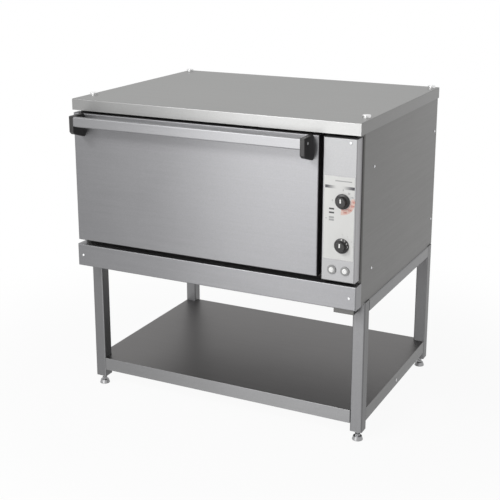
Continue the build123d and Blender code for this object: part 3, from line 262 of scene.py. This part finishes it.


# %% [markdown]
# ## Lamps
# The door of the real cabinet grows slowly brighter to the right. A sheet of steel shows that where
# one side of it mirrors a light and the other doesn't. So a strip light stands in front, where the
# right of the door mirrors it to the camera, a wide soft light hangs higher up in front, and a
# faint one above rounds off the top. Each lamp's power was worked out from its light alone, and
# then trimmed.


# %% Hang the lamps
def soft_lamp(name, place, aim, size, watts):
    """A flat soft light that looks from its place towards its aim."""
    lamp = bpy.data.lights.new(name, "AREA")
    lamp.shape, lamp.size, lamp.size_y, lamp.energy = "RECTANGLE", size[0], size[1], watts
    made = bpy.data.objects.new(name, lamp)
    made.location = place
    made.rotation_mode = "QUATERNION"
    made.rotation_quaternion = (Vector(aim) - Vector(place)).to_track_quat("-Z", "Y")
    made.visible_camera = False
    bpy.context.scene.collection.objects.link(made)
    print(name, watts, "W over", size, "m")


soft_lamp("front_lamp", (-0.95, -2.95, 2.8), (0.1, 0.0, 0.7), (2.3, 0.8), 68.0)
soft_lamp("strip_lamp", (-0.38, -2.4, 0.85), (0.3, -0.38, 0.7), (1.3, 1.4), 17.0)
soft_lamp("top_lamp", (-0.3, 0.9, 2.9), (0.0, 0.0, 1.0), (1.8, 1.2), 2.6)

# %% [markdown]
# ## Brushed stainless steel
# All the sheet is ground in one direction, which leaves hair-fine lines. A picture of such lines
# would do, but noise stretched along the grain needs no file, and is fine for close views and
# coarse for far ones. The lines spread a reflection across themselves, so the upright faces have a
# gloss that is stretched upright. On a folded piece the grain runs along Y where the face looks
# sideways. Level and sideways faces may get a tone of their own as painted shading, darker or
# lighter as light falls on them.


# %% Ground steel
def grain(web, along, fine=1400.0, coarse=160.0):
    """Hair lines round 0.5 along one axis: fine noise and a little coarser noise."""
    total = 0.0
    for across, share in ((fine, 0.5), (coarse, 0.5)):
        scale = [across] * 3
        scale[along] = across / 40.0
        total = web.noise(tuple(scale), detail=2.0) * share + total
    return total


def brushed(name, tone, roughness, along=None, line=0.10, relief=0.05, spread=0.8, cloudy=0.08,
            level_roughness=None, painted_return_shading=None, painted_level_shade=None):
    """Ground steel. tone is its middle colour, along the grain's axis (sought from the face where
    it is None), line how much the hair lines change the tone, and spread the anisotropy of
    upright faces. Level faces have a plain gloss and may have a tone of their own, painted shade,
    and faces that look sideways one that is painted shade or painted light."""
    web = finish(name)
    facing = web.node("ShaderNodeTexCoord", out="Normal")
    side = web.node("ShaderNodeMath", {"operation": "ABSOLUTE"}, {0: web.part(facing, "X")}) > 0.7
    if along is None:
        along_x, along_y = grain(web, 0), grain(web, 1)
        lines = along_x + (along_y - along_x) * side
    else:
        lines = grain(web, along)
    cloud = web.noise((2.2, 2.2, 2.2), detail=3.0) - 0.5
    speck = web.noise((260.0, 260.0, 260.0), detail=1.0) - 0.5
    shade = (lines - 0.5) * (8 * line) + speck * 0.5 + cloud * (8 * cloudy) + 0.5
    colour = web.mix(shade, *darker_and_lighter(tone, 0.14))
    level = web.node("ShaderNodeMath", {"operation": "ABSOLUTE"}, {0: web.part(facing, "Z")}) > 0.7
    # Painted shading: sideways and level faces take a darker or lighter tone of their own, for how
    # light falls on them.
    for which, other in ((side, painted_return_shading), (level, painted_level_shade)):
        if other:
            share = tuple(b / a for a, b in zip(tone, other))
            colour = web.mix(which, colour, web.tint(colour, share))
    gloss = (lines - 0.5) * 0.18 + cloud * 0.10
    normal = web.bump(lines, relief, 0.0003)
    upright, flat = (
        web.node("ShaderNodeBsdfPrincipled", sockets={
            "Base Color": colour, "Metallic": 1.0, "Roughness": gloss + rough, "Normal": normal,
            "Anisotropic": stretch, "Anisotropic Rotation": 0.25})
        for rough, stretch in ((roughness, spread), (level_roughness or roughness, 0.0)))
    mixed = web.node("ShaderNodeMixShader", sockets={0: level, 1: upright, 2: flat})
    web.node("ShaderNodeOutputMaterial", sockets={"Surface": mixed})
    return web.owner


def wear(finish_made, *names):
    """Gives a finish to CAD nodes. A name that ends in * stands for all that start so."""
    for name in names:
        chosen = [n for n in nodes if n == name or (name.endswith("*") and n.startswith(name[:-1]))]
        assert chosen, name
        for node in chosen:
            nodes[node].data.materials.clear()
            nodes[node].data.materials.append(finish_made)
            finished.add(node)


finished = set()
# Painted shading: these finishes are lit and shaded copies of one stainless steel, each tone set to
# how bright its part looks. The side panels are darkest, in shade. The top's side flanges, the
# legs' sides and the shelf are darker in the same way, and the control panel's returns are lighter.
front_steel = brushed("front_steel", (0.235, 0.235, 0.242), 0.42, along=0)
top_steel = brushed("top_steel", (0.31, 0.31, 0.307), 0.42, along=0, line=0.06, level_roughness=0.5,
                    painted_return_shading=(0.185, 0.184, 0.181), painted_level_shade=(0.28, 0.28, 0.276))
side_steel_painted_shade = brushed("side_steel_painted_shade", (0.135, 0.1335, 0.130), 0.42, line=0.06)
tube_steel = brushed("tube_steel", (0.20, 0.20, 0.204), 0.42, along=2, line=0.05,
                     painted_return_shading=(0.15, 0.15, 0.152))
rail_steel = brushed("rail_steel", (0.20, 0.20, 0.203), 0.42, line=0.05)
panel_steel = brushed("panel_steel", (0.285, 0.285, 0.289), 0.5, along=0, line=0.06,
                      painted_return_shading=(0.41, 0.405, 0.415))
shelf_steel = brushed("shelf_steel", (0.24, 0.24, 0.243), 0.42, line=0.05,
                      painted_return_shading=(0.17, 0.17, 0.17), painted_level_shade=(0.142, 0.138, 0.137))
bar_steel = brushed("bar_steel", (0.27, 0.27, 0.277), 0.42, along=0)
wear(front_steel, "door_outer_panel", "lower_fascia")
wear(panel_steel, "control_panel")
wear(bar_steel, "handle_bar")
wear(top_steel, "top_panel")
wear(side_steel_painted_shade, "side_panel*", "cutout_cover")
wear(tube_steel, "leg_front*", "leg_back*")
wear(rail_steel, "front_rail", "back_rail", "side_rail*", "back_panel", "bottom_panel", "partition",
     "door_inner_panel", "oven_chamber")
wear(shelf_steel, "lower_shelf")
print(len(finished), "nodes of ground steel")

# %% [markdown]
# ## Plated, dark and bright metal
# Hinges and bolts are plated with zinc, the feet with a duller coat and the wire grid with chrome.
# The hearth plate is near-black steel, and the front frame round the oven takes the same tone as
# painted shade in the gap round the door. None of them is ground, so they have no lines. A soft
# mottle in tone and gloss is enough, and one function makes them all.


# %% Other metals
def plated(name, tone, roughness, mottle=0.12):
    """Plated or plain metal with a soft mottle instead of a grain."""
    web = finish(name)
    cloud = web.noise((60.0, 60.0, 60.0), detail=4.0)
    fine = web.noise((900.0, 900.0, 900.0), detail=2.0)
    share = (cloud - 0.5) * 1.6 + 0.5
    colour = web.mix(share, *darker_and_lighter(tone, mottle))
    return web.surface(Base_Color=colour, Metallic=1.0, Roughness=(cloud - 0.5) * 0.25 + roughness,
                       Normal=web.bump(fine, 0.08, 0.0003))


zinc = plated("zinc_plate", (0.55, 0.55, 0.56), 0.36)
# Near-black steel: on the hearth plate its own tone, on the front frame painted shade for the gap
# round the door.
frame_gap_shade_and_hearth_dark = plated("dark_steel", (0.045, 0.043, 0.042), 0.5)
chrome = plated("chromed_wire", (0.68, 0.68, 0.69), 0.16, 0.04)
sheath = plated("element_sheath", (0.16, 0.14, 0.12), 0.45, 0.3)
copper = plated("copper_bulb", (0.62, 0.36, 0.22), 0.34)
foot_steel = plated("foot_steel", (0.33, 0.33, 0.335), 0.36)
stud_steel = plated("stud_steel", (0.72, 0.72, 0.72), 0.3, 0.05)
wear(foot_steel, "foot*")
wear(zinc, "hinge*", "chamber_supports", "shelf_bolts", "element_brackets", "thermostat_shaft",
     "heat_switch_shaft", "casing_screws")
wear(stud_steel, "stacking_studs")
# The front frame is seen only in the gap round the door, so its near-black is painted shade.
wear(frame_gap_shade_and_hearth_dark, "front_frame", "hearth_plate")
wear(chrome, "wire_grid", "runner*")
wear(sheath, "upper_elements", "lower_elements")
wear(copper, "thermostat_bulb")
print(len(finished), "nodes with a metal finish")


# %% [markdown]
# ## Plastic, rubber and wool
# Moulded parts copy the fine grain of their mould, rubber is nearly matt and wool is rough. They
# differ in tone, gloss and the depth of the grain, so one function serves them, with two noises:
# a fine one for the grain and a slow one for the gloss.


# %% Finishes that aren't metal
def moulded(name, tone, roughness, wave=0.08, relief=0.12, scale=700.0, glow=0.0):
    """Moulded plastic or rubber: one tone with a fine grain and a slow change of gloss. glow is the
    strength of a painted glow, a light of its own that no lamp gives."""
    web = finish(name)
    fine = web.noise((scale, scale, scale), detail=2.0)
    cloud = web.noise((35.0, 35.0, 35.0), detail=3.0)
    share = (cloud - 0.5) * 1.2 + (fine - 0.5) * 0.8 + 0.5
    colour = web.mix(share, *darker_and_lighter(tone, wave))
    return web.surface(Base_Color=colour, Roughness=(cloud - 0.5) * 0.2 + roughness,
                       Normal=web.bump(fine, relief, 0.0002), Emission_Color=rgb(1.0, 1.0, 1.0),
                       Emission_Strength=glow)


black = moulded("black_plastic", (0.018, 0.017, 0.017), 0.42, 0.3)
pale = moulded("pale_plastic", (0.66, 0.62, 0.52), 0.45)
rubber = moulded("seal_rubber", (0.022, 0.022, 0.022), 0.7, 0.2, 0.3)
wool = moulded("mineral_wool", (0.55, 0.50, 0.34), 0.9, 0.2, 1.0, 240.0)
label = moulded("label_face", (0.70, 0.70, 0.685), 0.38, 0.02, 0.03)
# Painted highlight: the lenses glow a little, with no lamp lit, to stand in for the glint on them.
lens = moulded("lamp_lens", (0.88, 0.88, 0.87), 0.12, 0.02, 0.02, glow=0.05)
bezel = moulded("lamp_bezel", (0.30, 0.30, 0.30), 0.35)
wear(black, "handle_bracket*", "thermostat_knob", "heat_switch_knob", "cable_gland", "leg_inserts")
wear(pale, "thermostat_body", "heat_switch_body", "terminal_block")
wear(rubber, "door_seal")
wear(wool, "door_insulation", "oven_insulation")
wear(label, "label_plate")
wear(lens, "pilot_lamp_lenses")
wear(bezel, "pilot_lamp_holders")
print("without a finish:", sorted(set(nodes) - finished))

# %% [markdown]
# ## Pieces computed as surfaces
# Knobs, lenses and screw heads are moulded or turned, so each is a profile taken round an axis,
# with a ripple where the real one has rings or a recess. Printed marks are thin bands laid along a
# path, and modifiers could make both, but a formula keeps every point where it is wanted.
# Every grid of points is worked out as one array in millimetres, from a face with its right side,
# its up side and the way out of it, and is then stood in its place.


# %% Profiles, turned surfaces and bands
def softened(corners, radius, steps=5):
    """Rounds the inner corners of a line: each corner B gives way to the curve
    (1-t)^2 A + 2 t (1-t) B + t^2 C, with A and C on the line a radius before and after it."""
    line = np.array(corners, float)
    before, corner, after = line[:-2], line[1:-1], line[2:]

    def near(other):
        gap = other - corner
        return corner + gap * np.minimum(radius / np.linalg.norm(gap, axis=1, keepdims=True), 0.5)
    t = np.linspace(0, 1, steps)[None, :, None]
    curve = ((1 - t) ** 2 * near(before)[:, None] + 2 * t * (1 - t) * corner[:, None]
             + t ** 2 * near(after)[:, None])
    return np.vstack([line[:1], curve.reshape(-1, 2), line[-1:]])


def turned(profile, count=64, ripple=lambda radius, height, angle: 0.0 * angle):
    """Points (r cos a, r sin a, h) for each (r, h) of the profile and each angle a all the way
    round, with h moved outward by ripple(r, h, a)."""
    radius, height = np.array(profile, float).T[:, :, None]
    angle = np.linspace(0, 2 * np.pi, count, endpoint=False)[None, :]
    height = height + ripple(radius, height, angle)
    return np.stack(np.broadcast_arrays(radius * np.cos(angle), radius * np.sin(angle), height),
                    axis=-1)


def finer(profile, step):
    """Adds points on the runs of a line, so that none is longer than step."""
    line = np.array(profile, float)
    along = np.r_[0.0, np.cumsum(np.linalg.norm(np.diff(line, axis=0), axis=1))]
    places = np.union1d(along, np.arange(0.0, along[-1], step))
    return np.stack([np.interp(places, along, line[:, axis]) for axis in (0, 1)], axis=1)


def band(path, width, thick=0.12, low=0.0):
    """A flat band along a path in a face: at each point the four corners p ± n width / 2, at the
    heights low and low + thick, where n is square to the path."""
    path = np.array(path, float)
    run = np.gradient(path, axis=0)
    normal = np.stack([-run[:, 1], run[:, 0]], axis=1) / np.linalg.norm(run, axis=1, keepdims=True)
    half = normal * np.broadcast_to(np.asarray(width, float) / 2, len(path))[:, None]
    sides = np.stack([path - half, path + half, path + half, path - half], axis=1)
    height = np.broadcast_to([low, low, low + thick, low + thick], sides.shape[:2])
    return np.concatenate([sides, height[..., None]], axis=2)


def straight(start, end, count=8):
    """Points on a straight run."""
    return np.linspace(start, end, count)


def arc(middle, radius, first, last, count=32):
    """Points on a round run, with its first and last angle in degrees from the right."""
    angle = np.radians(np.linspace(first, last, count))
    return np.array(middle) + radius * np.stack([np.cos(angle), np.sin(angle)], axis=1)


def stood(points, place, out=(0.0, -1.0, 0.0)):
    """Points measured right, up and out from a face, moved to their place in the cabinet."""
    axes = np.array([np.cross((0.0, 0.0, 1.0), out), (0.0, 0.0, 1.0), out])
    return points @ axes + np.array(place)


def merged(mesh, sharp=35.0):
    """Joins points that lie on each other, turns the faces outward and shades them smooth, except
    at corners sharper than so many degrees."""
    work = bmesh.new()
    work.from_mesh(mesh)
    bmesh.ops.remove_doubles(work, verts=work.verts, dist=1e-6)
    bmesh.ops.recalc_face_normals(work, faces=work.faces)
    work.to_mesh(mesh)
    work.free()
    mesh.shade_smooth()
    mesh.set_sharp_from_angle(angle=math.radians(sharp))


def piece(name, grids, material, body, instead=()):
    """One object of closed grids. Each grid has rows × columns points: its columns join up all the
    way round, and its first and last rows are filled. instead names the nodes that it replaces."""
    corners, faces, first = [], [], 0
    for grid in grids:
        rows, columns = grid.shape[:2]
        index = np.arange(first, first + rows * columns).reshape(rows, columns)
        beside = np.roll(index, -1, axis=1)
        quads = np.stack([index[:-1], beside[:-1], beside[1:], index[1:]], axis=-1)
        faces += quads.reshape(-1, 4).tolist() + [index[0, ::-1].tolist(), index[-1].tolist()]
        corners.append(grid.reshape(-1, 3) / 1000.0)
        first += rows * columns
    mesh = bpy.data.meshes.new(name)
    mesh.from_pydata(np.concatenate(corners).tolist(), [], faces)
    merged(mesh)
    return placed(name, mesh, material, body, instead)


def placed(name, mesh, material, body, instead=()):
    """Puts a mesh in the scene as a piece with its finish and the body it rides on."""
    mesh.materials.append(material)
    made = bpy.data.objects.new(name, mesh)
    bpy.context.scene.collection.objects.link(made)
    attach(made, body)
    if instead:
        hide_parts(*instead)
    print(name, len(mesh.polygons), "faces")
    return made


# %% Letters laid on a face
def numerals(name, words, material, body, height, place, bend=None):
    """Thin raised figures. words lists (text, right, up, turn in degrees) on a face, and bend,
    where it is given, moves the points of the whole set."""
    sets, faces, first = [], [], 0
    for text, right, up, turn in words:
        curve = bpy.data.curves.new(name, "FONT")
        curve.body, curve.size, curve.extrude, curve.offset = text, height, 0.06, height / 50.0
        curve.align_x, curve.align_y, curve.resolution_u = "CENTER", "CENTER", 4
        holder = bpy.data.objects.new(name, curve)
        mesh = bpy.data.meshes.new_from_object(holder)
        points = np.empty(len(mesh.vertices) * 3)
        mesh.vertices.foreach_get("co", points)
        turned_by = np.radians(turn)
        spin = np.array([[np.cos(turned_by), np.sin(turned_by), 0],
                         [-np.sin(turned_by), np.cos(turned_by), 0], [0, 0, 1]])
        sets.append(points.reshape(-1, 3) @ spin + (right, up, 0.06))
        faces += [[first + corner for corner in face.vertices] for face in mesh.polygons]
        first += len(mesh.vertices)
        for data, pool in ((holder, bpy.data.objects), (mesh, bpy.data.meshes),
                           (curve, bpy.data.curves)):
            pool.remove(data)
    points = np.concatenate(sets)
    points = stood(bend(points) if bend else points, place)
    mesh = bpy.data.meshes.new(name)
    mesh.from_pydata((points / 1000.0).tolist(), [], faces)
    merged(mesh)
    return placed(name, mesh, material, body)


# %% [markdown]
# ## Control knobs
# The real knobs are moulded in black plastic: a low skirt, a fluted drum and a white pointer let
# into the face. The profile gives skirt and drum, and the flutes are a cosine of the angle that
# fades out at both ends of the drum. The switch's skirt carries white figures from 0 to 3.

# %% Mould the knobs
KNOB_X, THERMOSTAT_Z, SWITCH_Z, KNOB_BACK_Y, PLATE_Y = 450.0, 801.0, 666.0, -356.4, -355.8
DRUM = [(0, 16.2), (3.3, 16.2), (3.3, 4.0), (7.0, 4.0), (7.0, 0.0), (23.2, 0.0), (23.2, 2.0),
        (16.6, 5.0), (16.0, 6.0), (15.2, 17.2), (14.2, 18.0), (0, 18.4)]


def fluted(grid, low=6.4, high=16.6, depth=0.5, lobes=24):
    """Draws the drum's wall in by depth (1 + cos(lobes a)) / 2 between the heights low and high."""
    right, up, out = np.moveaxis(grid, -1, 0)
    radius, angle = np.hypot(right, up), np.arctan2(up, right)
    share = np.clip(out - low, 0, 1) * np.clip(high - out, 0, 1) * (radius > 12.5)
    kept = 1 - depth * share * (1 + np.cos(lobes * angle)) / 2 / np.maximum(radius, 1.0)
    return np.stack([right * kept, up * kept, out], axis=-1)


def on_skirt(points):
    """Lays flat figures on the skirt, whose height is 2 + (23.2 - r) 3 / 6.6 at the radius r."""
    radius = np.hypot(points[:, 0], points[:, 1])
    return points + np.stack([0 * radius, 0 * radius, 2.0 + (23.2 - radius) * 3.0 / 6.6], axis=1)


def round_words(texts, angles, radius, middle=(0.0, 0.0)):
    """Words upright on a circle: (text, right, up, turn), one at each angle in degrees."""
    return [(text, middle[0] + radius * math.cos(math.radians(angle)),
             middle[1] + radius * math.sin(math.radians(angle)), 0.0)
            for text, angle in zip(texts, angles)]


grip = fluted(turned(finer(softened(DRUM, 0.8), 0.9), 192))
white_ink = moulded("white_ink", (0.90, 0.90, 0.88), 0.35, 0.02, 0.02)
for name, node, body, height in (
        ("thermostat_grip", "thermostat_knob", "thermostat_dial", THERMOSTAT_Z),
        ("heat_switch_grip", "heat_switch_knob", "heat_switch_dial", SWITCH_Z)):
    middle = (KNOB_X, KNOB_BACK_Y, height)
    piece(name, [stood(grip, middle)], black, body, [node])
    pointer = band(straight((0.0, -1.0), (0.0, 11.0), 12), 4.2, 0.5, 18.2)
    piece(name + "_pointer", [stood(pointer, middle)], white_ink, body)
numerals("heat_switch_figures", round_words("0123", (88, 58, 28, -2), 19.8), white_ink,
         "heat_switch_dial", 7.0, (KNOB_X, KNOB_BACK_Y, SWITCH_Z), on_skirt)

# %% [markdown]
# ## Pilot lamp lenses
# Each lamp has a lens of white plastic with fine rings pressed in it, to spread the lamp's light.
# The rings are a cosine of the radius on a low dome.

# %% Press the lenses
low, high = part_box("pilot_lamp_lenses")
DEPTH, LENS_R = (high.y - low.y) * 1000, (high.z - low.z) * 500
LENS = [(0, 0), (LENS_R, 0), (LENS_R, DEPTH - 1.6), (LENS_R - 2.2, DEPTH - 0.5), (0, DEPTH - 0.1)]


def rings(radius, height, angle):
    """0.1 cos(2 pi r / 1.7) on the dome."""
    return 0.1 * np.cos(2 * np.pi * radius / 1.7) * (height > DEPTH - 1.4) * (1 + 0 * angle)


lens_grid = turned(finer(softened(LENS, 1.0), 0.25), 72, rings)
piece("pilot_lamp_windows", [stood(lens_grid, (x * 1000, high.y * 1000, (low.z + high.z) * 500))
                             for x in (low.x + LENS_R / 1000, high.x - LENS_R / 1000)],
      lens, "cabinet", ["pilot_lamp_lenses"])

# %% [markdown]
# ## Casing screws
# The sheets are held by pan head screws with a cross recess. The recess is cut into the head as a
# height: two arms of a cross, each deepest along its middle. No two screws stop at the same angle.

# %% Turn the screws
SCREW = [(0, -5.0), (2.0, -5.0), (2.0, 0.0), (4.0, 0.0), (4.0, 1.1), (2.9, 2.1), (0, 2.3)]


def screw(number):
    """A screw with the cross turned by 0.7 of its number, in radians."""
    def recess(radius, height, angle):
        across, along = radius * np.cos(angle + 0.7 * number), radius * np.sin(angle + 0.7 * number)
        arms = [np.clip((0.55 - np.abs(a)) / 0.3, 0, 1) * np.clip((2.3 - np.abs(b)) / 0.8, 0, 1)
                for a, b in ((across, along), (along, across))]
        return -1.2 * np.maximum(*arms) * (height > 1.3)
    return turned(finer(softened(SCREW, 0.6), 0.3), 48, recess)


SCREW_SPOTS = ([((side * 497, y, z), (side, 0, 0))
                for side in (-1, 1) for y in (-223, 391) for z in (566, 884)]
               + [((x, 414, z), (0, 1, 0)) for x in (-486, 486) for z in (498, 983.5)]
               + [((x, -355, z), (0, -1, 0)) for x, z in ((-477, 505.5), (477, 505.5), (471, 976))])
bright = plated("bright_screw", (0.85, 0.85, 0.86), 0.5, 0.04)
wear(bright, "handle_screws")
piece("cross_head_screws",
      [stood(screw(number), spot, out) for number, (spot, out) in enumerate(SCREW_SPOTS)],
      bright, "cabinet", ["casing_screws"])

# %% [markdown]
# ## Printed marks
# The label plate is printed with a dark band that fades out in its middle, a temperature scale that
# warms to red round the upper knob, bars and ticks, and pale figures round the lower knob. An image
# could carry them, but bands of ink along a path stay sharp and are pieces of their own. The
# figures are plain numbers.

# %% Mix the inks
def ink(name, tone):
    """Printing ink with a slight grain."""
    return moulded(name, tone, 0.45, 0.05, 0.02)


def fading_ink():
    """Dark at both ends of the plate and the plate's own tone in the middle, by Object X."""
    web = finish("fading_ink")
    across = web.part(web.place(middle=(0.440, 0.0, 0.0)), "X")
    away = web.node("ShaderNodeMath", {"operation": "ABSOLUTE"}, {0: across})
    edge = web.step(away, 0.006, 0.044)
    fine = web.noise((900.0, 900.0, 900.0), detail=2.0)
    colour = web.mix(edge, rgb(0.70, 0.70, 0.685), rgb(0.05, 0.05, 0.06))
    return web.surface(Base_Color=colour, Roughness=fine * 0.1 + 0.4)


dark_ink, grey_ink = ink("dark_ink", (0.05, 0.05, 0.05)), ink("grey_ink", (0.36, 0.36, 0.36))
faint_ink, red_ink = ink("faint_ink", (0.58, 0.58, 0.56)), ink("red_ink", (0.50, 0.10, 0.07))
warm_ink = ink("warm_ink", (0.72, 0.52, 0.46))
print([each.name for each in (dark_ink, grey_ink, faint_ink, red_ink, warm_ink)])


# %% Print the label plate
def printed(name, grids, material):
    """Marks on the plate, from grids in the cabinet's X and Z."""
    return piece(name, [stood(grid, (0.0, PLATE_Y, 0.0)) for grid in grids], material,
                 "cabinet")


dial = (KNOB_X, THERMOSTAT_Z)
printed("printed_band", [band(straight((394.5, 842.5), (486.5, 842.5)), 9.0)], fading_ink())
printed("printed_bars", [band(straight((408, z), (424, z)), 5.0) for z in (776, 764.5)], dark_ink)
printed("printed_ticks", [band(straight(start, end), width) for start, end, width in (
    ((426, 861.5), (478, 861.5), 3.0), ((451, 832.5), (451, 838), 2.2),
    ((397, 746), (402, 746), 1.6), ((408, 750), (424, 750), 5.6),
    ((408, 742.5), (424, 742.5), 5.6))], grey_ink)
for name, radius, first, last, narrow, wide, thick, material in (
        ("printed_warm_arc", 32.5, 18, -98, 10.0, 17.0, 0.05, warm_ink),
        ("printed_red_arc", 25.4, 10, -96, 0.5, 1.8, 0.10, red_ink)):
    printed(name, [band(arc(dial, radius, first, last, 48), np.linspace(narrow, wide, 48), thick)],
            material)
for name, texts, angles, radius, middle, material in (
        ("printed_low_figures", ("0", "50", "100"), (180, 53, 27), 32.0, dial, grey_ink),
        ("printed_high_figures", ("150", "200", "250", "300"), (2, -20, -46, -76), 33.5, dial,
         red_ink),
        ("printed_switch_figures", "0123", (86, 60, 28, 0), 35.0, (KNOB_X, SWITCH_Z), faint_ink)):
    numerals(name, round_words(texts, angles, radius, middle), material, "cabinet",
             7.4, (0.0, PLATE_Y, 0.0))
